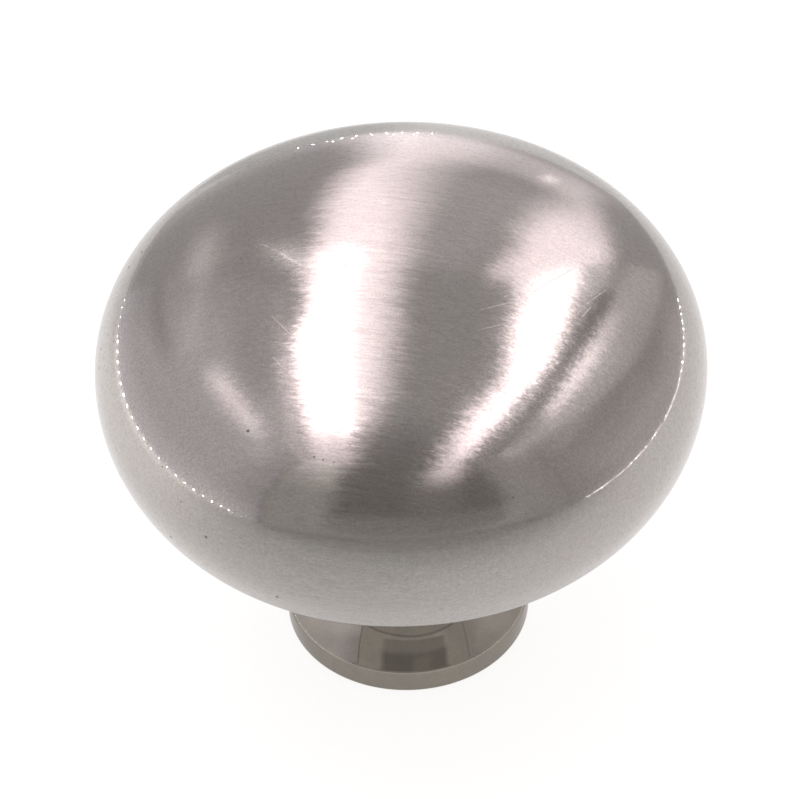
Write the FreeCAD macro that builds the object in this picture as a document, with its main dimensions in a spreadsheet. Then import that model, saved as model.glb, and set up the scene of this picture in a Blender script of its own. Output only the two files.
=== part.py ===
"""A round mushroom knob for a cabinet door or a drawer, in millimetres.

One solid metal casting: a low domed head, a short neck and a small flared foot,
with a blind tapped hole up its middle for the fixing screw.
The knob stands on its foot. The origin is the centre of the seat, and +Z is the
axis of the knob, from the seat to the crown.
"""
import FreeCAD, Part
import Sketcher
import math
import os
from enum import IntEnum

Vector = FreeCAD.Vector


class Point(IntEnum):
    """The points of a sketch's line or arc that a constraint can name."""
    start = 1
    end = 2
    centre = 3


class Axis(IntEnum):
    """The axes of a sketch, as its constraints number them."""
    across = -1
    upright = -2


ORIGIN = (Axis.across, Point.start)

# Driving dimensions: alias, value in millimetres or degrees, and what it is.
SIZES = [
    ("head_diameter", 31.75, "widest circle of the head, 1-1/4 in"),
    ("upper_rim_radius", 6.8, "arc that rounds the head above its widest circle"),
    ("crown_angle", 54.0, "how far that arc turns before the crown takes over"),
    ("lower_rim_radius", 7.6, "arc that rounds the head below its widest circle"),
    ("underside_angle", 60.0, "how far that arc turns before the underside takes over"),
    ("neck_diameter", 9.3, "straight part of the neck"),
    ("neck_length", 2.65, "from the top of the flare to the underside of the head"),
    ("neck_fillet", 1.5, "between the neck and the underside of the head"),
    ("foot_diameter", 13.2, "outside of the foot"),
    ("foot_rim_height", 1.45, "upright band round the foot"),
    ("flare_height", 4.5, "hollow curve from the band up to the neck"),
    ("band_top_round", 0.4, "edge between the band and the flare"),
    ("seat_chamfer", 0.2, "broken edge between the band and the seat"),
    ("tap_drill_diameter", 3.454, "wall of the hole for a No. 8-32 thread"),
    ("hole_depth", 14.0, "full-diameter depth of the hole"),
    ("drill_point_angle", 118.0, "cone at the blind end of the hole"),
    ("countersink_diameter", 4.6, "lead-in at the mouth of the hole"),
    ("countersink_angle", 90.0, "full angle of the lead-in"),
]


def makeSheet(doc):
    """Writes the driving dimensions, then the radii and heights that follow from them."""
    sheet = doc.addObject("Spreadsheet::Sheet", "sizes")
    for row, (alias, value, note) in enumerate(SIZES, start=1):
        sheet.set("A%d" % row, alias)
        sheet.set("B%d" % row, str(value))
        sheet.set("C%d" % row, note)
        sheet.setAlias("B%d" % row, alias)
    derived = [
        ("upper_centre_radius", "=head_diameter / 2 - upper_rim_radius"),
        ("lower_centre_radius", "=head_diameter / 2 - lower_rim_radius"),
        ("crown_radius", "=upper_rim_radius + upper_centre_radius / cos(crown_angle * 1 deg)"),
        ("underside_radius", "=lower_rim_radius + lower_centre_radius / cos(underside_angle * 1 deg)"),
        ("crown_drop", "=upper_centre_radius * tan(crown_angle * 1 deg)"),
        ("underside_rise", "=lower_centre_radius * tan(underside_angle * 1 deg)"),
        ("neck_foot_height", "=foot_rim_height + flare_height"),
        ("neck_head_height", "=neck_foot_height + neck_length"),
        ("underside_reach", "=sqrt(underside_radius ^ 2 - (neck_diameter / 2) ^ 2)"),
        ("rim_height", "=neck_head_height + underside_reach - underside_rise"),
        ("flare_depth", "=(foot_diameter - neck_diameter) / 2"),
        ("flare_radius", "=(flare_depth ^ 2 + flare_height ^ 2) / (2 * flare_depth)"),
    ]
    for row, (alias, formula) in enumerate(derived, start=len(SIZES) + 2):
        sheet.set("A%d" % row, alias)
        sheet.set("B%d" % row, formula)
        sheet.setAlias("B%d" % row, alias)
    doc.recompute()
    return sheet


def originPlane(body, role):
    """The plane of the body's own origin with that role, such as XY_Plane."""
    return next(f for f in body.Origin.OriginFeatures if f.Role == role)


def arcOver(centre, radius, start, end):
    """An arc of a circle in the sketch plane, from one angle to another in degrees, anticlockwise."""
    circle = Part.Circle(centre, Vector(0, 0, 1), radius)
    return Part.ArcOfCircle(circle, math.radians(start), math.radians(end))


def drawProfile(body, sheet):
    """Half of the knob's section: x is the distance from the axis and y is the height."""
    sketch = body.newObject("Sketcher::SketchObject", "half_section")
    sketch.AttachmentSupport = (originPlane(body, "XZ_Plane"), "")
    sketch.MapMode = "FlatFace"

    # The first guess at the geometry is worked out from the sheet, so the
    # constraints settle on the same shape whatever the sizes are.
    foot = sheet.foot_diameter / 2
    neck = sheet.neck_diameter / 2
    upperCentre = Vector(sheet.upper_centre_radius, sheet.rim_height, 0)
    lowerCentre = Vector(sheet.lower_centre_radius, sheet.rim_height, 0)
    crownCentre = Vector(0, sheet.rim_height - sheet.crown_drop, 0)
    underCentre = Vector(0, sheet.rim_height + sheet.underside_rise, 0)
    flareCentre = Vector(neck + sheet.flare_radius, sheet.neck_foot_height, 0)
    flareEnd = math.degrees(math.atan2(-sheet.flare_height, sheet.flare_depth - sheet.flare_radius)) % 360
    underStart = -math.degrees(math.acos(neck / sheet.underside_radius))
    crownTop = crownCentre + Vector(0, sheet.crown_radius, 0)

    seat = sketch.addGeometry(Part.LineSegment(Vector(0, 0, 0), Vector(foot, 0, 0)))
    band = sketch.addGeometry(Part.LineSegment(Vector(foot, 0, 0), Vector(foot, sheet.foot_rim_height, 0)))
    flare = sketch.addGeometry(arcOver(flareCentre, sheet.flare_radius, 180, flareEnd))
    neckSide = sketch.addGeometry(Part.LineSegment(Vector(neck, sheet.neck_foot_height, 0),
                                                   Vector(neck, sheet.neck_head_height, 0)))
    under = sketch.addGeometry(arcOver(underCentre, sheet.underside_radius,
                                       underStart, -sheet.underside_angle))
    lowerRim = sketch.addGeometry(arcOver(lowerCentre, sheet.lower_rim_radius, -sheet.underside_angle, 0))
    upperRim = sketch.addGeometry(arcOver(upperCentre, sheet.upper_rim_radius, 0, sheet.crown_angle))
    crown = sketch.addGeometry(arcOver(crownCentre, sheet.crown_radius, sheet.crown_angle, 90))
    axis = sketch.addGeometry(Part.LineSegment(crownTop, Vector(0, 0, 0)))

    rule = Sketcher.Constraint
    sketch.addConstraint([
        rule("Coincident", seat, Point.start, *ORIGIN),
        rule("Horizontal", seat),
        rule("Coincident", seat, Point.end, band, Point.start),
        rule("Vertical", band),
        rule("Coincident", band, Point.end, flare, Point.end),
        rule("Tangent", flare, Point.start, neckSide, Point.start),
        rule("Vertical", neckSide),
        rule("Coincident", neckSide, Point.end, under, Point.start),
        rule("PointOnObject", under, Point.centre, Axis.upright),
        rule("Tangent", under, Point.end, lowerRim, Point.start),
        rule("Coincident", lowerRim, Point.end, upperRim, Point.start),
        rule("Horizontal", lowerRim, Point.centre, lowerRim, Point.end),
        rule("Horizontal", upperRim, Point.centre, upperRim, Point.start),
        rule("Tangent", upperRim, Point.end, crown, Point.start),
        rule("PointOnObject", crown, Point.centre, Axis.upright),
        rule("Coincident", crown, Point.end, axis, Point.start),
        rule("Coincident", axis, Point.end, *ORIGIN),
        rule("Vertical", axis),
    ])

    def drive(kind, alias, *where):
        """Adds one dimension and binds it to the sheet: half of it where the sheet has a diameter."""
        if kind == "Angle":
            value = math.radians(sheet.get(alias))
            formula = "sizes.%s * 1 deg" % alias
        elif alias.endswith("diameter"):
            value = sheet.get(alias) / 2
            formula = "sizes.%s * 1 mm / 2" % alias
        else:
            value = sheet.get(alias)
            formula = "sizes.%s * 1 mm" % alias
        index = sketch.addConstraint(Sketcher.Constraint(kind, *where, value))
        sketch.setExpression("Constraints[%d]" % index, formula)

    drive("DistanceX", "foot_diameter", *ORIGIN, seat, Point.end)
    drive("DistanceY", "foot_rim_height", band, Point.start, band, Point.end)
    drive("DistanceX", "neck_diameter", *ORIGIN, neckSide, Point.start)
    drive("DistanceY", "flare_height", band, Point.end, neckSide, Point.start)
    drive("DistanceY", "neck_length", neckSide, Point.start, neckSide, Point.end)
    drive("DistanceX", "head_diameter", *ORIGIN, upperRim, Point.start)
    drive("Radius", "lower_rim_radius", lowerRim)
    drive("Angle", "underside_angle", lowerRim)
    drive("Radius", "upper_rim_radius", upperRim)
    drive("Angle", "crown_angle", upperRim)
    return sketch


def revolveBlank(body, sketch):
    """Turns the half section about the knob's axis."""
    blank = body.newObject("PartDesign::Revolution", "blank")
    blank.Profile = sketch
    blank.ReferenceAxis = (sketch, ["V_Axis"])
    blank.Angle = 360.0
    return blank


def circleEdge(shape, radius, height):
    """Name of the circular edge with that radius at that height."""
    tolerance = 0.01
    for index, edge in enumerate(shape.Edges, start=1):
        box = edge.BoundBox
        flat = box.ZLength < tolerance
        if flat and abs(box.ZMin - height) < tolerance and abs(box.XMax - radius) < tolerance:
            return "Edge%d" % index
    raise ValueError("no edge of radius %.3f at height %.3f" % (radius, height))


def dressEdge(body, base, name, edge, kind, alias):
    """A fillet or a chamfer on one edge of the base, with its size bound to the sheet."""
    dress = body.newObject("PartDesign::%s" % kind, name)
    dress.Base = (base, [edge])
    dress.setExpression("Radius" if kind == "Fillet" else "Size", "sizes.%s * 1 mm" % alias)
    return dress


def markHole(body, sheet):
    """The circle of the screw hole, on the seat and facing down, so the hole goes up into the neck."""
    centre = body.newObject("Sketcher::SketchObject", "hole_centre")
    centre.AttachmentSupport = (originPlane(body, "XY_Plane"), "")
    centre.MapMode = "FlatFace"
    centre.MapReversed = True
    bore = sheet.tap_drill_diameter
    ring = centre.addGeometry(Part.Circle(Vector(0, 0, 0), Vector(0, 0, 1), bore / 2))
    centre.addConstraint(Sketcher.Constraint("Coincident", ring, Point.centre, *ORIGIN))
    size = centre.addConstraint(Sketcher.Constraint("Diameter", ring, bore))
    centre.setExpression("Constraints[%d]" % size, "sizes.tap_drill_diameter * 1 mm")
    return centre


def drillHole(body, centre):
    """The blind hole for the fixing screw, with a pointed end and a countersunk mouth."""
    hole = body.newObject("PartDesign::Hole", "screw_hole")
    hole.Profile = centre
    hole.ThreadType = "None"
    hole.DepthType = "Dimension"
    hole.DrillPoint = "Angled"
    hole.HoleCutType = "Countersink"
    hole.HoleCutCustomValues = True
    hole.setExpression("Diameter", "sizes.tap_drill_diameter * 1 mm")
    hole.setExpression("Depth", "sizes.hole_depth * 1 mm")
    hole.setExpression("DrillPointAngle", "sizes.drill_point_angle * 1 deg")
    hole.setExpression("HoleCutDiameter", "sizes.countersink_diameter * 1 mm")
    hole.setExpression("HoleCutCountersinkAngle", "sizes.countersink_angle * 1 deg")
    return hole


def buildKnob(doc, sheet):
    """The whole knob, as one body."""
    body = doc.addObject("PartDesign::Body", "knob")
    body.Label = "knob"
    blank = revolveBlank(body, drawProfile(body, sheet))
    doc.recompute()

    foot = sheet.foot_diameter / 2
    neck = sheet.neck_diameter / 2
    edge = circleEdge(blank.Shape, foot, sheet.foot_rim_height)
    bandTop = dressEdge(body, blank, "band_top", edge, "Fillet", "band_top_round")
    doc.recompute()
    edge = circleEdge(bandTop.Shape, foot, 0.0)
    seatEdge = dressEdge(body, bandTop, "seat_edge", edge, "Chamfer", "seat_chamfer")
    doc.recompute()
    edge = circleEdge(seatEdge.Shape, neck, sheet.neck_head_height)
    dressEdge(body, seatEdge, "under_head", edge, "Fillet", "neck_fillet")
    doc.recompute()

    centre = markHole(body, sheet)
    doc.recompute()
    drillHole(body, centre)
    doc.recompute()
    return body


def checkDocument(doc, bodies):
    """Stops if any object of the document failed or a body has no sound solid."""
    for item in doc.Objects:
        if "Invalid" in item.State or "Error" in item.State:
            raise RuntimeError("%s failed: %s" % (item.Name, item.State))
    for body in bodies:
        shape = body.Shape
        if shape.isNull() or not shape.isValid() or len(shape.Solids) != 1:
            raise RuntimeError("%s has no sound solid" % body.Label)


def main():
    doc = FreeCAD.newDocument("cabinet_knob")
    sheet = makeSheet(doc)
    knob = buildKnob(doc, sheet)
    checkDocument(doc, [knob])
    os.makedirs("parts", exist_ok=True)
    knob.Shape.exportStep("parts/%s.step" % knob.Label)
    box = knob.Shape.optimalBoundingBox()
    print("head %.2f mm, height %.3f mm, rim at %.3f mm" % (box.XLength, box.ZLength, sheet.rim_height))
    print("crown radius %.2f mm, underside radius %.2f mm, flare radius %.2f mm"
          % (sheet.crown_radius, sheet.underside_radius, sheet.flare_radius))
    print("volume %.1f cubic mm" % knob.Shape.Volume)


main()
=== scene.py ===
import bmesh
import bpy
from math import atan2, cos, degrees, pi, radians, sin, sqrt, tan
from mathutils import Matrix, Vector


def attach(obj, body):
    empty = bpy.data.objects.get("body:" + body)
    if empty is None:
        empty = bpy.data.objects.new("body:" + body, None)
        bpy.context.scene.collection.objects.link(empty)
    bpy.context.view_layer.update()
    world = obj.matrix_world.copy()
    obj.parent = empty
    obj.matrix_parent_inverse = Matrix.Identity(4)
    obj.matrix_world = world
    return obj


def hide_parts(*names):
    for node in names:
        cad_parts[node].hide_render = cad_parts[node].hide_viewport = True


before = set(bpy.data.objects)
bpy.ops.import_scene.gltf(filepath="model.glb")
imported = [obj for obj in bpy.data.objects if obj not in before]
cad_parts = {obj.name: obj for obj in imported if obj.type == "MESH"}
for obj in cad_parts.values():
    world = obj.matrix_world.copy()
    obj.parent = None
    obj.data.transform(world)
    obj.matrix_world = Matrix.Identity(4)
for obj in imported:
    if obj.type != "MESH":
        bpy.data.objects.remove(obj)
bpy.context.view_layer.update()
mm = 0.001


# Shader maths: a Wire is a socket that can be used in Python expressions.

class Wire:
    def __init__(self, tree, socket):
        self.tree = tree
        self.socket = socket

    def node(self, kind, settings=None, values=None, output=0):
        item = self.tree.nodes.new("ShaderNode" + kind)
        for name, value in (settings or {}).items():
            setattr(item, name, value)
        for name, value in (values or {}).items():
            if isinstance(value, Wire):
                self.tree.links.new(value.socket, item.inputs[name])
            else:
                item.inputs[name].default_value = value
        if not item.outputs:
            return None
        return Wire(self.tree, item.outputs[output])

    def calc(self, operation, *others):
        return self.node("Math", {"operation": operation}, dict(enumerate((self, *others))))

    def vector(self, operation, *others, output=0):
        return self.node("VectorMath", {"operation": operation}, dict(enumerate((self, *others))), output)

    def scaled(self, factor):
        return self.node("VectorMath", {"operation": "SCALE"}, {0: self, "Scale": factor})

    def output(self, name):
        return Wire(self.tree, self.socket.node.outputs[name])

    def __add__(self, other):
        return self.calc("ADD", other)

    def __radd__(self, other):
        return self.calc("ADD", other)

    def __sub__(self, other):
        return self.calc("SUBTRACT", other)

    def __rsub__(self, other):
        return self.calc("MULTIPLY_ADD", -1.0, other)

    def __mul__(self, other):
        return self.calc("MULTIPLY", other)

    def __rmul__(self, other):
        return self.calc("MULTIPLY", other)

    def __truediv__(self, other):
        return self.calc("DIVIDE", other)

    def __pow__(self, other):
        return self.calc("POWER", other)


def newMaterial(name):
    material = bpy.data.materials.new(name)
    material.use_nodes = True
    material.node_tree.nodes.clear()
    return material, Wire(material.node_tree, None)


def placeInMillimetres(wire):
    return wire.node("TexCoord", output="Object").scaled(1 / mm)


def splitVector(vector):
    x = vector.node("SeparateXYZ", None, {0: vector})
    return x, x.output("Y"), x.output("Z")


def joinVector(wire, x, y, z):
    return wire.node("CombineXYZ", None, {0: x, 1: y, 2: z})


def smoothStep(value, zero, one):
    # Goes from 0 to 1 while the value goes from the first number to the second, up or down.
    return value.node("MapRange", {"interpolation_type": "SMOOTHSTEP"},
                      {"Value": value, "From Min": zero, "From Max": one, "To Min": 0.0, "To Max": 1.0})


def between(value, low, high, soft):
    # 1 from low to high and 0 outside, with soft edges.
    return smoothStep(value - low, -soft, soft) * smoothStep(high - value, -soft, soft)


def blend(low, high, share):
    return low + (high - low) * share


# Camera: found from the outlines of the head and the foot in the 800 x 799 photograph.

cameraPlan = {
    "elevation": 42.93,           # degrees above the floor
    "distance": 200.0 * mm,       # to the aim, which is on the knob's axis
    "aimHeight": 17.965 * mm,     # the widest circle of the head
    "aimPixel": (400.9, 364.1),   # where the aim lands in the frame
    "focalPixels": 3853.3,
    "roll": -0.0318,              # radians
    "frame": (800, 799),
    "sensorWidth": 36.0,          # in millimetres, as Blender has it
    "clipStart": 10.0 * mm,
}


def placeCamera(plan):
    tilt = radians(plan["elevation"])
    width, height = plan["frame"]
    forward = Vector((0, cos(tilt), -sin(tilt)))
    right = Vector((1, 0, 0))
    up = Vector((0, sin(tilt), cos(tilt)))
    place = Vector((0, 0, plan["aimHeight"])) - forward * plan["distance"]
    rolledRight = right * cos(plan["roll"]) + up * sin(plan["roll"])
    rolledUp = up * cos(plan["roll"]) - right * sin(plan["roll"])
    aside = (plan["aimPixel"][0] - width / 2) / plan["focalPixels"]
    above = -(plan["aimPixel"][1] - height / 2) / plan["focalPixels"]
    look = (forward - aside * rolledRight - above * rolledUp).normalized()
    side = (rolledRight - look * rolledRight.dot(look)).normalized()
    head = side.cross(look)
    data = bpy.data.cameras.new("camera")
    data.sensor_width = plan["sensorWidth"]
    data.lens = plan["focalPixels"] / width * plan["sensorWidth"]
    data.clip_start = plan["clipStart"]
    camera = bpy.data.objects.new("camera", data)
    turn = Matrix((side, head, -look)).transposed()
    camera.matrix_world = Matrix.Translation(place) @ turn.to_4x4()
    bpy.context.scene.collection.objects.link(camera)
    bpy.context.scene.camera = camera


placeCamera(cameraPlan)
print("camera placed")


# The knob: half of its section is drawn with arcs and lines, then spun about its axis.

knobPlan = {                  # in millimetres and degrees, as the solid has them
    "headRadius": 15.875,
    "upperRim": 6.8,
    "crownAngle": 54.0,
    "lowerRim": 7.6,
    "undersideAngle": 60.0,
    "neckRadius": 4.65,
    "neckLength": 2.65,
    "neckFillet": 1.5,
    "footRadius": 6.6,
    "bandHeight": 1.45,
    "flareHeight": 4.5,
    "bandTopRound": 0.4,
    "seatRound": 0.2,
    "boreRadius": 1.727,
    "boreDepth": 14.0,
    "drillPointAngle": 118.0,
    "mouthRadius": 2.3,
    "arcStep": 1.6,           # degrees between rings on an arc, more on the small rounds
    "roundSteps": 256,        # columns round the axis
    "mergeDistance": 0.0005,  # closes the two ends on the axis
}

threadPlan = {                # No. 8-32
    "pitch": 0.79375,
    "majorRadius": 2.083,
    "turns": 13.5,
    "stepsPerTurn": 40,
    "crestShare": 0.25,       # of the pitch, flat at the minor radius
    "rootShare": 0.86,        # of the pitch, where the ridge meets the wall
    "start": 0.75,            # above the seat
    "runOut": 0.3,            # from the wall of the thread up to the bare hole
    "bite": 0.02,             # how far the ridge goes into the wall
}

headFinish, footFinish, boreFinish = range(3)   # the order of the knob's materials


class Section:
    # Draws one half of the section in the XZ plane, in millimetres.
    def __init__(self, bm, x, z):
        self.bm = bm
        self.tip = bm.verts.new((x, 0, z))

    def line(self, x, z):
        made = bmesh.ops.extrude_vert_indiv(self.bm, verts=[self.tip])["verts"][0]
        bmesh.ops.translate(self.bm, verts=[made], vec=Vector((x, 0, z)) - made.co)
        self.tip = made

    def arc(self, x, z, sweep, step):
        steps = max(3, round(abs(sweep) / step))
        made = bmesh.ops.spin(self.bm, geom=[self.tip], cent=(x, 0, z), axis=(0, -1, 0), dvec=(0, 0, 0),
                              angle=radians(sweep), steps=steps, use_merge=False, use_duplicate=False)
        self.tip = next(v for v in made["geom_last"] if isinstance(v, bmesh.types.BMVert))


def buildKnob(plan, thread):
    head = plan["headRadius"]
    foot = plan["footRadius"]
    neck = plan["neckRadius"]
    fillet = plan["neckFillet"]
    corner = plan["bandTopRound"]
    step = plan["arcStep"]

    # Radii and centres that follow from the plan.
    upperX = head - plan["upperRim"]
    lowerX = head - plan["lowerRim"]
    underRadius = plan["lowerRim"] + lowerX / cos(radians(plan["undersideAngle"]))
    underRise = lowerX * tan(radians(plan["undersideAngle"]))
    neckTop = plan["bandHeight"] + plan["flareHeight"] + plan["neckLength"]
    underZ = neckTop + sqrt(underRadius ** 2 - neck ** 2)
    rimZ = underZ - underRise
    crownZ = rimZ - upperX * tan(radians(plan["crownAngle"]))
    filletX = neck + fillet
    filletZ = underZ - sqrt((underRadius + fillet) ** 2 - filletX ** 2)
    filletEnd = degrees(atan2(underZ - filletZ, -filletX))
    depth = foot - neck
    flareRadius = (depth ** 2 + plan["flareHeight"] ** 2) / (2 * depth)
    flareX = neck + flareRadius
    flareZ = plan["bandHeight"] + plan["flareHeight"]
    cornerX = foot - corner
    cornerZ = flareZ - sqrt((flareRadius + corner) ** 2 - (cornerX - flareX) ** 2)
    cornerEnd = degrees(atan2(flareZ - cornerZ, flareX - cornerX))
    pointDepth = plan["boreRadius"] / tan(radians(plan["drillPointAngle"] / 2))
    threadTop = thread["start"] + thread["turns"] * thread["pitch"]
    mouthZ = plan["mouthRadius"] - thread["majorRadius"]

    bm = bmesh.new()
    section = Section(bm, 0, plan["boreDepth"] + pointDepth)
    section.line(plan["boreRadius"], plan["boreDepth"])
    section.line(plan["boreRadius"], threadTop + thread["runOut"])
    section.line(thread["majorRadius"], threadTop)
    section.line(thread["majorRadius"], mouthZ)
    section.line(plan["mouthRadius"], 0)
    section.line(foot - plan["seatRound"], 0)
    section.arc(foot - plan["seatRound"], plan["seatRound"], 90, step * 10)
    section.line(foot, cornerZ)
    section.arc(cornerX, cornerZ, cornerEnd, step * 3)
    section.arc(flareX, flareZ, -cornerEnd, step)
    section.line(neck, filletZ)
    section.arc(filletX, filletZ, filletEnd - 180, step * 2)
    section.arc(0, underZ, 180 - filletEnd - plan["undersideAngle"], step)
    section.arc(lowerX, rimZ, plan["undersideAngle"], step)
    section.arc(upperX, rimZ, plan["crownAngle"], step)
    section.arc(0, crownZ, 90 - plan["crownAngle"], step)

    bmesh.ops.spin(bm, geom=bm.verts[:] + bm.edges[:], cent=(0, 0, 0), axis=(0, 0, 1), dvec=(0, 0, 0),
                   angle=2 * pi, steps=plan["roundSteps"], use_merge=True, use_duplicate=False)
    bmesh.ops.remove_doubles(bm, verts=bm.verts, dist=plan["mergeDistance"])
    bmesh.ops.recalc_face_normals(bm, faces=bm.faces)
    for face in bm.faces:
        face.smooth = True
        centre = face.calc_center_median()
        reach = sqrt(centre.x ** 2 + centre.y ** 2)
        if reach < plan["mouthRadius"] and centre.z < plan["boreDepth"] + pointDepth:
            face.material_index = boreFinish
        elif centre.z < filletZ:
            face.material_index = footFinish
        else:
            face.material_index = headFinish
    bmesh.ops.scale(bm, verts=bm.verts, vec=(mm, mm, mm))
    return bm


def buildThread(plan, bore):
    bm = bmesh.new()
    root = plan["majorRadius"] + plan["bite"]
    halfRoot = plan["rootShare"] * plan["pitch"] / 2
    halfCrest = plan["crestShare"] * plan["pitch"] / 2
    middle = plan["start"]
    corners = [(root, middle - halfRoot), (bore, middle - halfCrest),
               (bore, middle + halfCrest), (root, middle + halfRoot)]
    loop = [bm.verts.new((x, 0, z)) for x, z in corners]
    edges = [bm.edges.new((loop[i], loop[(i + 1) % 4])) for i in range(4)]
    steps = round(plan["turns"] * plan["stepsPerTurn"])
    bmesh.ops.spin(bm, geom=loop + edges, cent=(0, 0, 0), axis=(0, 0, 1),
                   dvec=(0, 0, plan["pitch"] / plan["stepsPerTurn"]),
                   angle=2 * pi * plan["turns"], steps=steps, use_merge=False, use_duplicate=False)
    bmesh.ops.holes_fill(bm, edges=[e for e in bm.edges if e.is_boundary], sides=4)
    bmesh.ops.recalc_face_normals(bm, faces=bm.faces)
    bmesh.ops.scale(bm, verts=bm.verts, vec=(mm, mm, mm))
    return bm


def makePiece(name, bm, materials):
    mesh = bpy.data.meshes.new(name)
    bm.to_mesh(mesh)
    bm.free()
    for material in materials:
        mesh.materials.append(material)
    piece = bpy.data.objects.new(name, mesh)
    bpy.context.scene.collection.objects.link(piece)
    return piece


# Satin nickel: brushed metal under a clear lacquer, with its scratches and pits.

nickelPlan = {
    "colour": (0.46, 0.437, 0.414),
    "roughness": 0.15,
    "anisotropy": 0.5,
    "brushCentre": (-12.0, -60.0),  # in millimetres: the brush marks run round this far point
    "brushRadius": 60.0,            # turns the angle round it into millimetres
    "lineCount": 13.0,              # brush marks in a millimetre, across them
    "broadLineCount": 5.2,
    "strokeCount": 1.3,             # strokes in a millimetre, along the marks
    "longStrokeCount": 0.2,
    "longStrokeStart": 40.0,        # keeps the long ones off the short ones
    "acrossTilt": 0.05,             # how far the marks lean the surface
    "alongTilt": 0.05,
    "strokeShade": 0.33,            # how far each changes the metal's tone
    "longStrokeShade": 0.2,
    "grainShade": 0.40,
    "pitShade": 0.6,
    "scratchRoughness": 0.22,       # added to the metal's own
    "pitRoughness": 0.3,
    "lacquer": 1.0,
    "lacquerRoughness": 0.0,
}

cracklePlan = {                     # a patch of fine cracks at the right of the crown
    "centre": (9.2, 0.9, 25.0),
    "reach": 3.6,                   # in millimetres from the centre
    "core": 2.0,                    # full strength inside this
    "cellScale": 1.05,
    "width": 0.03,
    "strength": 0.3,
}

dotPlan = {                         # fine pits, scattered by chance
    "scale": 1.15,                  # cells in a millimetre
    "radius": 0.085,                # as a share of a cell
    "share": 0.05,                  # of the cells that have one
    "leftShare": 0.3,               # more of them by the left edge of the head
    "strength": 0.8,
}

scratchPlan = [   # from x, y to x, y on the head, and half the width, all in millimetres
    (-11.67, -0.26, -10.27, -3.06, 0.032),
    (-6.30, -5.06, -5.02, -6.89, 0.028),
    (-6.28, -7.31, -5.93, -7.81, 0.028),
    (6.72, -4.00, 8.78, -1.85, 0.026),
    (4.03, -5.57, 6.10, -4.64, 0.025),
    (5.21, -4.64, 5.76, -4.29, 0.025),
    (9.07, -4.77, 9.57, -3.99, 0.028),
    (9.37, -3.88, 10.40, -2.55, 0.028),
    (3.84, -6.71, 4.94, -6.28, 0.024),
    (0.68, 2.18, 1.10, 2.91, 0.026),
]

pitPlan = [       # x, y, z and radius of the larger dark pits
    (-4.36, -12.33, 23.46, 0.08),
    (-3.93, -12.52, 23.42, 0.06),
    (-3.40, -12.69, 23.42, 0.06),
    (-7.58, -10.47, 23.56, 0.11),
    (-9.92, -12.39, 18.22, 0.12),
    (-11.84, -10.23, 16.11, 0.12),
    (-6.52, -14.00, 15.45, 0.12),
    (-15.46, -1.77, 20.01, 0.11),
    (-14.49, -6.17, 16.61, 0.12),
    (-15.35, -0.90, 20.53, 0.10),
    (-13.91, 3.37, 22.30, 0.10),
    (-13.21, 3.83, 22.90, 0.10),
    (12.98, -7.93, 20.90, 0.09),
]


def noise(vector, scale, detail, shift=None):
    # From -0.5 to 0.5. A shift reads another part of the same noise.
    if shift:
        vector = vector.vector("ADD", shift)
    return vector.node("TexNoise", {"noise_dimensions": "3D"},
                       {"Vector": vector, "Scale": scale, "Detail": detail, "Roughness": 0.55}) - 0.5


def scratchMask(wire, x, y, z, marks):
    flat = joinVector(wire, x, y, 0.0)
    total = None
    for ax, ay, bx, by, width in marks:
        run = Vector((bx - ax, by - ay, 0))
        offset = flat.vector("SUBTRACT", (ax, ay, 0))
        along = offset.vector("DOT_PRODUCT", tuple(run / run.length_squared), output="Value")
        along = along.node("Clamp", None, {"Value": along})
        nearest = joinVector(wire, along * run.x, along * run.y, 0.0)
        gap = offset.vector("DISTANCE", nearest, output="Value")
        mask = smoothStep(gap, width, width * 0.3)
        total = mask if total is None else total.calc("MAXIMUM", mask)
    return total * smoothStep(z, 17.0, 18.0)     # only above the head's widest circle


def crackleMask(place, plan):
    cells = place.node("TexVoronoi", {"feature": "DISTANCE_TO_EDGE"},
                       {"Vector": place, "Scale": plan["cellScale"]})
    away = place.vector("DISTANCE", plan["centre"], output="Value")
    cracks = smoothStep(cells, plan["width"], plan["width"] * 0.4)
    return cracks * smoothStep(away, plan["reach"], plan["core"]) * plan["strength"]


def dotMask(place, scale, radius, share, core=0.03):
    # Small round dots in some of the cells.
    cells = place.node("TexVoronoi", {"feature": "F1"}, {"Vector": place, "Scale": scale})
    chance = splitVector(cells.output("Color"))[0]
    return smoothStep(cells, radius, core) * smoothStep(share - chance, -0.01, 0.01)


def pitMask(place, x, pits, fine):
    total = None
    for px, py, pz, radius in pits:
        gap = place.vector("DISTANCE", (px, py, pz), output="Value")
        mask = smoothStep(gap, radius, radius * 0.4)
        total = mask if total is None else total.calc("MAXIMUM", mask)
    share = fine["share"] + fine["leftShare"] * smoothStep(x, -6.0, -13.0)
    dots = dotMask(place, fine["scale"], fine["radius"], share)
    return total.calc("MAXIMUM", dots * fine["strength"])


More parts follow.
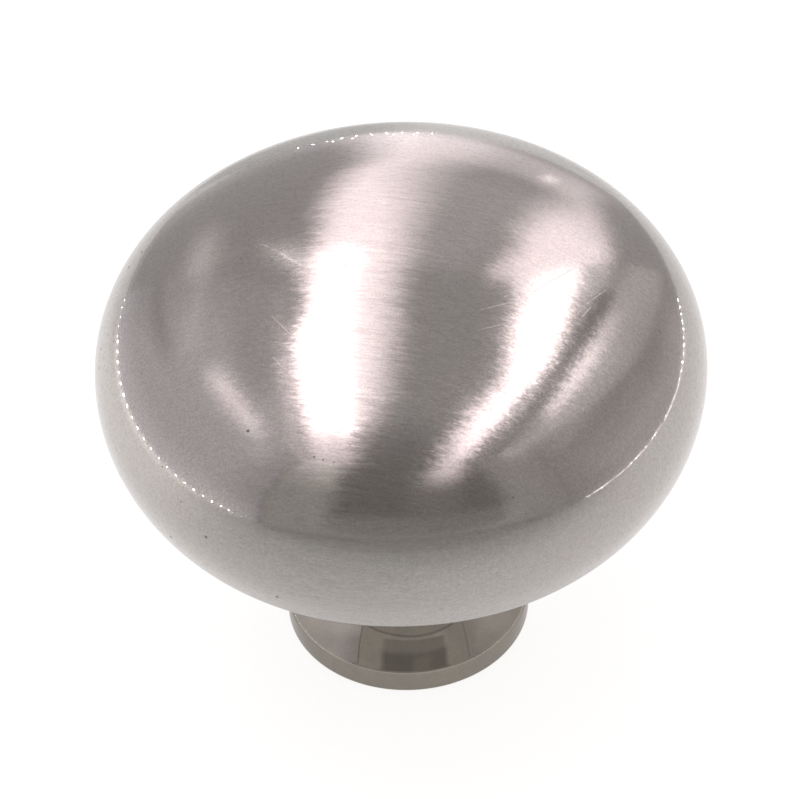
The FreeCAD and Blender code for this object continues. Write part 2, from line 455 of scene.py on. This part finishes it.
def brushedNickel(plan):
    material, wire = newMaterial("brushedNickel")
    place = placeInMillimetres(wire)
    x, y, z = splitVector(place)
    fromX = x - plan["brushCentre"][0]
    fromY = y - plan["brushCentre"][1]
    reach = (fromX * fromX + fromY * fromY) ** 0.5
    unitX = fromX / reach
    unitY = fromY / reach
    along = fromX.calc("ARCTAN2", fromY) * plan["brushRadius"]
    lines = plan["lineCount"]
    broad = plan["broadLineCount"]

    # Brush marks: short strokes among longer ones, all narrow.
    strokes = joinVector(wire, along * plan["strokeCount"], reach * lines, z * lines)
    longAlong = along * plan["longStrokeCount"] + plan["longStrokeStart"]
    longStrokes = joinVector(wire, longAlong, reach * broad, z * broad)
    across = noise(strokes, scale=1.0, detail=2.0) * plan["acrossTilt"]
    sway = noise(strokes, scale=1.0, detail=2.0, shift=(7.3, 3.1, 9.7))
    sway = (sway + noise(longStrokes, scale=1.0, detail=2.0)) * plan["alongTilt"]
    grain = noise(place, scale=10.0, detail=1.0)
    mottle = noise(place, scale=0.5, detail=2.0)

    # Marks of use.
    scratches = scratchMask(wire, x, y, z, scratchPlan)
    scratches = scratches.calc("MAXIMUM", crackleMask(place, cracklePlan))
    pits = pitMask(place, x, pitPlan, dotPlan)

    # The marks lean the normal along and across the brushing, and change the tone.
    tilt = joinVector(wire, unitX * across - unitY * sway, unitY * across + unitX * sway, 0.0)
    tilted = wire.node("NewGeometry", output="Normal").vector("ADD", tilt).vector("NORMALIZE")

    shade = 1.0 + noise(strokes, scale=1.0, detail=1.0, shift=(2.9, 8.3, 4.1)) * plan["strokeShade"]
    shade = shade + grain * plan["grainShade"]
    longShade = noise(longStrokes, scale=1.0, detail=1.0, shift=(5.1, 1.7, 6.4))
    shade = shade + longShade * plan["longStrokeShade"]
    shade = shade * (1.0 - pits * plan["pitShade"])
    tint = joinVector(wire, 1.0 + mottle * 0.04, 1.0, 1.0 - mottle * 0.03)
    colour = tint.vector("MULTIPLY", plan["colour"]).scaled(shade)
    roughness = plan["roughness"] + scratches * plan["scratchRoughness"] + pits * plan["pitRoughness"]

    # The lacquer is worn thin in small patches.
    lacquer = smoothStep(noise(place, scale=4.5, detail=1.0), -0.35, 0.05)
    lacquer = plan["lacquer"] * lacquer * smoothStep(noise(place, scale=12.0, detail=1.0), -0.3, 0.0)
    shader = wire.node("BsdfPrincipled", None, {
        "Base Color": colour,
        "Metallic": 1.0,
        "Roughness": roughness,
        "Anisotropic": plan["anisotropy"],
        "Anisotropic Rotation": 0.25,       # a quarter turn, so that the light spreads across the marks
        "Coat Weight": lacquer * (1.0 - pits),
        "Coat Roughness": plan["lacquerRoughness"],
        "Normal": tilted,
    })
    wire.node("OutputMaterial", None, {"Surface": shader})
    return material


footPlan = {
    "colour": (0.39, 0.364, 0.318),
    "roughness": 0.05,
    "mottle": 0.24,            # how far the plate's tone wanders
    "grain": 0.22,
    "ripple": 0.012,           # how far the turned rings lean the surface
    "ringCount": 9.0,          # rings in a millimetre
    "speckShade": 0.5,
    "speckRoughness": 0.3,
    "lacquer": 0.4,
    "lacquerRoughness": 0.03,
}

borePlan = {
    "colour": (0.44, 0.42, 0.39),
    "roughness": 0.32,
    "mottle": 0.30,
    "grain": 0.25,
    "ripple": 0.05,
    "ringCount": 9.0,
    "speckShade": 0.5,
    "speckRoughness": 0.3,
    "lacquer": 0.0,
    "lacquerRoughness": 0.03,
}


def turnedNickel(name, plan):
    # The foot's polished plate and the drilled hole, with faint rings from turning.
    material, wire = newMaterial(name)
    place = placeInMillimetres(wire)
    x, y, z = splitVector(place)
    rings = joinVector(wire, x * 0.3, y * 0.3, z * plan["ringCount"])
    grain = noise(place, scale=9.0, detail=1.0)
    mottle = noise(place, scale=0.9, detail=2.0)
    ripple = noise(place, scale=0.7, detail=1.0, shift=(4.7, 1.9, 8.1))
    ripple = ripple + noise(rings, scale=1.0, detail=1.0) * 0.5
    specks = dotMask(place, scale=1.7, radius=0.09, share=0.12)
    shade = 1.0 + mottle * plan["mottle"] + grain * plan["grain"]
    shade = shade * (1.0 - specks * plan["speckShade"])
    tint = joinVector(wire, 1.0 + mottle * 0.08, 1.0, 1.0 - mottle * 0.06)
    tilt = joinVector(wire, 0.0, 0.0, ripple * plan["ripple"])
    tilted = wire.node("NewGeometry", output="Normal").vector("ADD", tilt).vector("NORMALIZE")
    shader = wire.node("BsdfPrincipled", None, {
        "Base Color": tint.vector("MULTIPLY", plan["colour"]).scaled(shade),
        "Metallic": 1.0,
        "Roughness": plan["roughness"] + mottle * 0.05 + specks * plan["speckRoughness"],
        "Coat Weight": plan["lacquer"],
        "Coat Roughness": plan["lacquerRoughness"],
        "Normal": tilted,
    })
    wire.node("OutputMaterial", None, {"Surface": shader})
    return material


headNickel = brushedNickel(nickelPlan)
footNickel = turnedNickel("footNickel", footPlan)
boreNickel = turnedNickel("boreNickel", borePlan)
print("nickel finishes made")

knob = makePiece("satinKnob", buildKnob(knobPlan, threadPlan), [headNickel, footNickel, boreNickel])
knob.data.use_auto_texspace = False     # the tangent of the brushed finish runs round its centre
knob.data.texspace_location = (nickelPlan["brushCentre"][0] * mm, nickelPlan["brushCentre"][1] * mm, 0)
knob.data.texspace_size = (1.0, 1.0, 1.0)
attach(knob, "root")
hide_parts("knob")
print("knob built")

screwThread = makePiece("screwThread", buildThread(threadPlan, knobPlan["boreRadius"]), [boreNickel])
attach(screwThread, "root")
print("screw thread built")


# The studio: a pale floor inside a small white folding tent that only reflections see.

floorPlan = {
    "size": 1.2,               # in metres
    "colour": (0.80, 0.80, 0.785, 1),
    "cameraGlow": 0.79,        # added where the camera sees the floor itself
    "metalGlow": (1.0, 0.955, 0.945),
    "bounce": 0.2,             # what the lamp and the world already give
}


def floorLevels(x, y):
    # How bright the floor is in the metal, a painted pool of light: darker in front and far behind, with
    # painted shade beside the foot.
    # Here and in the tent below, x, y and z are places in millimetres.
    level = blend(0.43, 0.82, smoothStep(y, -78.0, 0.0)) * blend(1.0, 0.86, smoothStep(y, 10.0, 70.0))
    level = level + 0.16 * smoothStep(x, -20.0, -60.0) * between(y, -22.0, 50.0, 20.0)
    level = level - 0.09 * between(x, -50.0, 0.0, 12.0) * between(y, -46.0, -12.0, 10.0)
    # Painted shadow of the head on the floor, beside the foot.
    reach = (x * x + y * y) ** 0.5
    level = level * blend(0.70, 1.0, smoothStep(reach, 6.0, 17.0))
    level = level + 0.45 * smoothStep(x, -84.0, -106.0) * between(y, -44.0, 78.0, 14.0)
    level = level + 0.42 * smoothStep(x, 94.0, 106.0) * between(y, 38.0, 76.0, 12.0)
    halfShade = (1.6 * (y - 54.0)).calc("MINIMUM", 34.0)
    behind = smoothStep(halfShade - x.calc("ABSOLUTE"), -4.0, 5.0)
    return blend(level, blend(0.43, 0.61, smoothStep(x, -4.0, 6.0)), behind)


def makeFloor(plan):
    bm = bmesh.new()
    bmesh.ops.create_grid(bm, x_segments=1, y_segments=1, size=plan["size"] / 2)
    material, wire = newMaterial("paleFloor")
    x, y = splitVector(placeInMillimetres(wire))[:2]
    seenByCamera = wire.node("LightPath", output="Is Camera Ray")
    seenInMetal = seenByCamera.output("Is Glossy Ray")
    level = (floorLevels(x, y) - plan["bounce"]) * seenInMetal
    inMetal = joinVector(wire, level, level, level).vector("MULTIPLY", plan["metalGlow"])
    level = seenByCamera * plan["cameraGlow"]
    glow = inMetal.vector("ADD", joinVector(wire, level, level, level))
    paint = wire.node("BsdfDiffuse", None, {"Color": plan["colour"]})
    shader = wire.node("AddShader", None, {0: paint, 1: wire.node("Emission", None, {0: glow})})
    wire.node("OutputMaterial", None, {"Surface": shader})
    makePiece("floor", bm, [material])


tentPlan = {                   # in millimetres
    "side": 112.0,             # from the middle to either wall
    "front": -105.0,
    "back": 120.0,
    "height": 224.0,
    "clothColours": {          # what the light through each wall is tinted with
        "Ceiling": (1.0, 0.96, 0.955),
        "Right": (1.0, 0.94, 0.94),
        "Left": (1.0, 0.945, 0.98),
        "Back": (1.0, 0.945, 0.96),
        "Front": (1.0, 0.95, 0.91),
    },
    "lampColour": (1.0, 0.86, 0.90),
}


def glowMaterial(side, levels):
    # The cloth's own glow, and on top of it the lamps that shine through.
    material, wire = newMaterial("tent" + side)
    cloth, lamp = levels(*splitVector(placeInMillimetres(wire)))
    cloth = joinVector(wire, cloth, cloth, cloth).vector("MULTIPLY", tentPlan["clothColours"][side])
    lamp = joinVector(wire, lamp, lamp, lamp).vector("MULTIPLY", tentPlan["lampColour"])
    glow = wire.node("Emission", None, {0: cloth.vector("ADD", lamp)})
    wire.node("OutputMaterial", None, {"Surface": glow})
    return material


def ceilingLevels(x, y, z):
    # Two lamps shine through: a broad one on the left and one that crosses to the right wall.
    # The first has a wandering left and right edge and a brighter core, the second a left edge.
    cloth = blend(0.27, 0.47, smoothStep(y, -98.0, -45.0))
    toFront = 6.0 * smoothStep(y, 4.0, -14.0) + 30.0 * smoothStep(y, -42.0, -80.0)
    firstLeft = -80.0 - 19.0 * smoothStep(y, 84.0, 44.0) - 4.0 * smoothStep(y, 84.0, 100.0)
    firstLeft = firstLeft + 5.0 * between(y, -66.0, -40.0, 12.0)
    firstRight = -12.0 + 0.06 * y - toFront
    first = 1.6 * smoothStep(firstRight - x, -26.0, 22.0) * blend(0.6, 1.0, smoothStep(y, -95.0, -65.0))
    core = 2.2 * smoothStep(-46.0 + 0.05 * y - x, -10.0, 10.0) * smoothStep(y, -74.0, -56.0)
    core = core * blend(0.6, 1.0, smoothStep(y, 110.0, 65.0))
    first = (first + core) * smoothStep(x - firstLeft, -16.0, 12.0)
    secondLeft = 110.0 - 47.0 * smoothStep(y, 5.0, -85.0) + 10.0 * smoothStep(y, 50.0, 110.0)
    second = smoothStep(145.0 + 0.8 * y - x, -8.0, 8.0) * smoothStep(x - secondLeft, -23.0, 15.0)
    second = second * blend(0.7, 3.5, smoothStep(y, 110.0, 0.0))
    second = second * blend(0.75, 1.0, smoothStep(y, -105.0, -75.0))
    front = 0.95 * between(x, 36.0, 74.0, 12.0) * smoothStep(y, -76.0, -96.0)
    bulb = between(x, -60.0, -50.0, 2.0) * between(y, -76.0, -66.0, 2.0)
    return cloth, first + second + front + bulb * 3.0


def rightLevels(x, y, z):
    # A lamp above a folding rod, and a bright fold under the rod.
    edge = 181.4 - 0.931 * y + 0.0026 * y * y
    edge = edge + 7.0 * between(y, 25.0, 88.0, 14.0) + 9.0 * smoothStep(y, 20.0, -40.0)
    edge = edge + 4.0 * smoothStep(y, 66.0, 84.0)
    lamp = smoothStep(z - edge, -9.0, 11.0) * blend(3.5, 1.9, smoothStep(y, 40.0, 110.0))
    lamp = lamp * (1.0 - 0.65 * smoothStep(y, 54.0, 92.0) * smoothStep(z, 172.0, 222.0))
    seam = between(y - 157.0 + z / 3.0, -1.2, 1.2, 0.6) * between(z, 118.0, 198.0, 3.0)
    lamp = lamp * (1.0 - 0.45 * seam)
    rod = between(z - 161.5 + 0.75 * y, -9.0, 8.0, 5.0) * blend(0.45, 1.0, smoothStep(y, 94.0, 82.0))
    offset = z - 139.5 + 0.68 * y
    fold = 1.9 * between(y, -28.0, 36.0, 9.0) + 0.75 * between(y, 34.0, 66.0, 12.0)
    cloth = 0.45 + 0.17 * smoothStep(z, 60.0, 15.0) * between(y, -45.0, 85.0, 25.0)
    cloth = cloth + 0.06 * between(z, 28.0, 74.0, 12.0) * between(y, -62.0, 20.0, 12.0)
    cloth = cloth + 0.10 * between(z, 96.0, 140.0, 12.0) * between(y, -62.0, -14.0, 14.0)
    cloth = cloth + 0.12 * smoothStep(z, 122.0, 150.0) * smoothStep(y, -72.0, -90.0)
    cloth = cloth + blend(0.26, 0.42, between(y, -8.0, 44.0, 14.0)) * smoothStep(offset, -48.0, -8.0)
    cloth = cloth + 0.25 * smoothStep(y, 66.0, 92.0) * smoothStep(z, 76.0, 92.0)
    post = between(y, -84.0, -82.0, 0.8)
    cloth = blend(blend(cloth, 0.22, rod), 0.25, post)
    return cloth, lamp + fold * between(offset, -5.0, 5.0, 7.0)


def leftLevels(x, y, z):
    # Plain cloth with a folding rod, a pale fold, a dark post and the lamp's end at the top.
    cloth = 0.49 + 0.19 * smoothStep(y, -105.0, -40.0) - 0.12 * smoothStep(y, 55.0, 110.0)
    cloth = cloth + 0.15 * smoothStep(z, 48.0, 8.0)
    cloth = cloth + 0.14 * between(z, 94.0, 110.0, 9.0) * smoothStep(y, 30.0, 60.0)
    cloth = cloth + 0.12 * between(z, 112.0, 156.0, 12.0) * between(y, -76.0, -44.0, 10.0)
    cloth = blend(cloth, 0.54, smoothStep(z, 125.0, 160.0) * smoothStep(y, -30.0, 10.0))
    rod = between(z - 101.0 + 0.38 * y, -5.0, 5.0, 6.0) * smoothStep(y, 30.0, 70.0)
    fold = 1.35 * between(z - 139.0 + 0.62 * y, -9.0, 5.0, 11.0) * between(y, -38.0, 26.0, 11.0)
    top = 0.4 * smoothStep(z, 190.0, 224.0) * blend(1.0, 0.4, smoothStep(y, 30.0, 80.0))
    top = top + 0.6 * smoothStep(z, 204.0, 222.0) * between(y, 0.0, 22.0, 10.0)
    post = smoothStep(y, -101.5, -103.0)
    return blend(blend(cloth, 0.42, rod), 0.2, post), fold + top


def backLevels(x, y, z):
    # The ends of both lamps, a bridge of light between them, and a few pale clips.
    cloth = 0.46 + 0.15 * between(x, 8.0, 64.0, 14.0) * smoothStep(z, 40.0, 75.0)
    cloth = cloth + 0.34 * between(x, -82.0, -60.0, 12.0) * between(z, 128.0, 188.0, 18.0)
    cloth = cloth + 0.11 * smoothStep(x, -78.0, -94.0) * between(z, 70.0, 106.0, 12.0)
    cloth = cloth + 0.09 * smoothStep(z, 18.0, 8.0) * smoothStep(x, 10.0, 0.0)
    cloth = cloth + 0.3 * between(z + 0.85 * x + 4.0, -10.0, 10.0, 12.0) * smoothStep(x, -62.0, -84.0)
    firstLeft = -10.5 - 0.46 * (z - 49.0).calc("MAXIMUM", 0.0) + 5.0 * between(z, 108.0, 168.0, 12.0)
    firstLeft = firstLeft + 6.0 * smoothStep(z, 56.0, 42.0)
    firstRight = 6.0 + 7.0 * smoothStep(z, 62.0, 44.0)
    first = smoothStep(x - firstLeft, -13.0, 12.0) * smoothStep(firstRight - x, -22.0, 20.0)
    first = first * blend(1.4, 1.6, smoothStep(z, 40.0, 110.0)) * blend(0.75, 1.0, smoothStep(z, 0.0, 16.0))
    first = first - 0.13 * between(x, -11.0, 12.0, 6.0) * smoothStep(z, 138.0, 168.0)
    core = 1.3 * between(x, -66.0, -27.0, 12.0) * smoothStep(z, 142.0, 190.0)
    secondLeft = 62.0 + 18.0 * smoothStep(z, 104.0, 160.0) - 7.0 * smoothStep(z, 60.0, 25.0)
    secondLeft = secondLeft + 4.0 * between(z, 84.0, 142.0, 10.0)
    second = smoothStep(x - secondLeft, -14.0, 13.0) * smoothStep(35.0 + 0.93 * z - x, -12.0, 10.0)
    second = second * blend(0.7, 1.45, smoothStep(z, 30.0, 95.0))
    second = second * blend(1.0, 0.45, smoothStep(z, 185.0, 224.0))
    bridge = 0.36 * between(x, 14.0, 58.0, 8.0) * between(z, 8.0, 42.0, 6.0)
    clips = between(x, -74.5, -72.5, 0.5) * between(z, 138.0, 176.0, 3.0)
    clips = clips + 0.5 * between(x, -74.0, -73.0, 0.4) * between(z, 108.0, 138.0, 3.0)
    clips = clips + 0.25 * between(x, 80.0, 82.0, 0.5) * between(z, 184.0, 206.0, 3.0)
    clips = clips + 0.3 * between(x, 43.0, 47.0, 2.0) * between(z, 24.0, 34.0, 4.0)
    return cloth, first + core + second + bridge + clips * 4.0


def frontLevels(x, y, z):
    # The opening that the camera looks through, and the sill that the floor cloth makes under it.
    sides = smoothStep(x, -58.0, -40.0) * smoothStep(x, 76.0, 60.0)
    bend = (x - 8.0) / 108.0
    lip = z - 19.0 + 16.0 * bend * bend
    cloth = blend(0.42, 0.46, smoothStep(lip, -2.0, 2.0))
    cloth = blend(cloth, 0.29, between(lip, -2.2, 2.2, 1.0))
    cloth = cloth + 0.12 * smoothStep(x, -36.0, -60.0) * smoothStep(z, 84.0, 130.0)
    cloth = cloth + 0.11 * between(x, -72.0, -48.0, 10.0) * between(z, 118.0, 180.0, 16.0)
    cloth = cloth + 0.09 * between(x, 46.0, 74.0, 10.0) * between(z, 20.0, 46.0, 6.0)
    cloth = blend(cloth, 0.34, sides * smoothStep(z, 24.5, 27.5))
    dark = blend(0.235, 0.245, smoothStep(z, 70.0, 130.0))
    cloth = blend(cloth, dark, sides * smoothStep(z, 44.0, 60.0))
    cloth = cloth + 0.05 * between(x, 4.0, 36.0, 8.0) * smoothStep(z, 44.0, 70.0)
    glare = 0.55 * smoothStep(z, 130.0, 215.0) * smoothStep(x, -58.0, -88.0)
    glare = glare + 0.2 * between(x, -82.0, -66.0, 7.0) * smoothStep(z, 110.0, 150.0)
    tip = between(x - 0.24 * z + 4.0 * smoothStep(z, 172.0, 196.0), -14.0, 14.0, 12.0)
    tip = tip * blend(0.0, 1.25, smoothStep(z, 90.0, 178.0))
    return cloth, glare + tip


def onlyReflected(item):
    item.visible_camera = False
    item.visible_diffuse = False
    item.visible_shadow = False
    item.visible_volume_scatter = False


def makeTent(plan):
    bm = bmesh.new()
    bmesh.ops.create_cube(bm, size=1.0)
    bmesh.ops.delete(bm, geom=[f for f in bm.faces if f.normal.z < -0.5], context="FACES_ONLY")
    for face in bm.faces:
        side, along, up = face.normal
        facing = (up > 0.5, side > 0.5, side < -0.5, along > 0.5, along < -0.5)
        face.material_index = facing.index(True)    # in the order of the walls below
    depth = plan["back"] - plan["front"]
    bmesh.ops.scale(bm, verts=bm.verts, vec=(2 * plan["side"], depth, plan["height"]))
    bmesh.ops.translate(bm, verts=bm.verts, vec=(0, (plan["back"] + plan["front"]) / 2, plan["height"] / 2))
    bmesh.ops.scale(bm, verts=bm.verts, vec=(mm, mm, mm))
    walls = {"Ceiling": ceilingLevels, "Right": rightLevels, "Left": leftLevels,
             "Back": backLevels, "Front": frontLevels}
    materials = [glowMaterial(side, levels) for side, levels in walls.items()]
    onlyReflected(makePiece("lightTent", bm, materials))


beadPlan = {
    "radiance": 160.0,         # in the lacquer, as sharp points
    "softRadiance": 9.0,       # in the brushed metal below it
    "colour": (1.0, 0.97, 0.98, 1),
}

beadRows = {                   # small lamps along the foot of the tent, in millimetres
    "leftRow": {"x": -109.0, "z": 2.6, "from": -70.0, "to": 78.0, "pitch": 7.8, "radius": 0.85},
    "leftEnd": {"x": -109.0, "z": 2.0, "from": -82.0, "to": -74.0, "pitch": 4.0, "radius": 0.4},
    "leftTail": {"x": -110.0, "z": 2.0, "from": 84.0, "to": 118.0, "pitch": 8.0, "radius": 0.45},
    "rightRow": {"x": 109.0, "z": 2.0, "from": 38.0, "to": 100.0, "pitch": 6.0, "radius": 0.75},
    "rightTail": {"x": 110.0, "z": 1.5, "from": -66.0, "to": 36.0, "pitch": 2.4, "radius": 0.36},
    "backLow": {"y": 118.0, "z": 1.5, "from": -20.0, "to": 8.0, "pitch": 3.1, "radius": 0.28},
    "backHigh": {"y": 118.0, "z": 5.5, "from": -13.0, "to": 6.0, "pitch": 4.3, "radius": 0.24},
}


def makeBeads(plan, rows):
    bm = bmesh.new()
    for row in rows.values():
        count = round((row["to"] - row["from"]) / row["pitch"])
        for i in range(count + 1):
            step = row["from"] + i * row["pitch"]
            place = (row["x"], step, row["z"]) if "x" in row else (step, row["y"], row["z"])
            spot = Matrix.Translation(place)
            bmesh.ops.create_icosphere(bm, subdivisions=1, radius=row["radius"], matrix=spot)
    bmesh.ops.scale(bm, verts=bm.verts, vec=(mm, mm, mm))
    material, wire = newMaterial("beadGlow")
    sharp = wire.node("LightPath", output="Is Singular Ray")
    strength = blend(plan["softRadiance"], plan["radiance"], sharp)
    glow = wire.node("Emission", None, {"Color": plan["colour"], "Strength": strength})
    wire.node("OutputMaterial", None, {"Surface": glow})
    onlyReflected(makePiece("beadLamps", bm, [material]))


lampPlan = {
    "size": 0.35,
    "place": (-0.05, 0.08, 0.45),
    "energy": 0.28,
    "worldSoft": 0.28,         # what lights the floor
    "worldSeen": 1.0,          # what the camera and the metal see beyond the floor
}


def makeLights(plan):
    data = bpy.data.lights.new("overheadLamp", "AREA")
    data.shape = "SQUARE"
    data.size = plan["size"]
    data.energy = plan["energy"]
    lamp = bpy.data.objects.new("overheadLamp", data)
    lamp.location = plan["place"]
    lamp.visible_camera = False
    lamp.visible_glossy = False
    bpy.context.scene.collection.objects.link(lamp)
    world = bpy.data.worlds.new("studio")
    world.use_nodes = True
    world.node_tree.nodes.clear()
    wire = Wire(world.node_tree, None)
    seenByCamera = wire.node("LightPath", output="Is Camera Ray")
    seen = seenByCamera.calc("MAXIMUM", seenByCamera.output("Is Glossy Ray"))
    level = blend(plan["worldSoft"], plan["worldSeen"], seen)
    sky = wire.node("Background", None, {"Color": (1, 1, 1, 1), "Strength": level})
    wire.node("OutputWorld", None, {"Surface": sky})
    bpy.context.scene.world = world


makeFloor(floorPlan)
makeTent(tentPlan)
makeBeads(beadPlan, beadRows)
makeLights(lampPlan)
bpy.context.scene.view_settings.view_transform = "Standard"
print("studio lit")
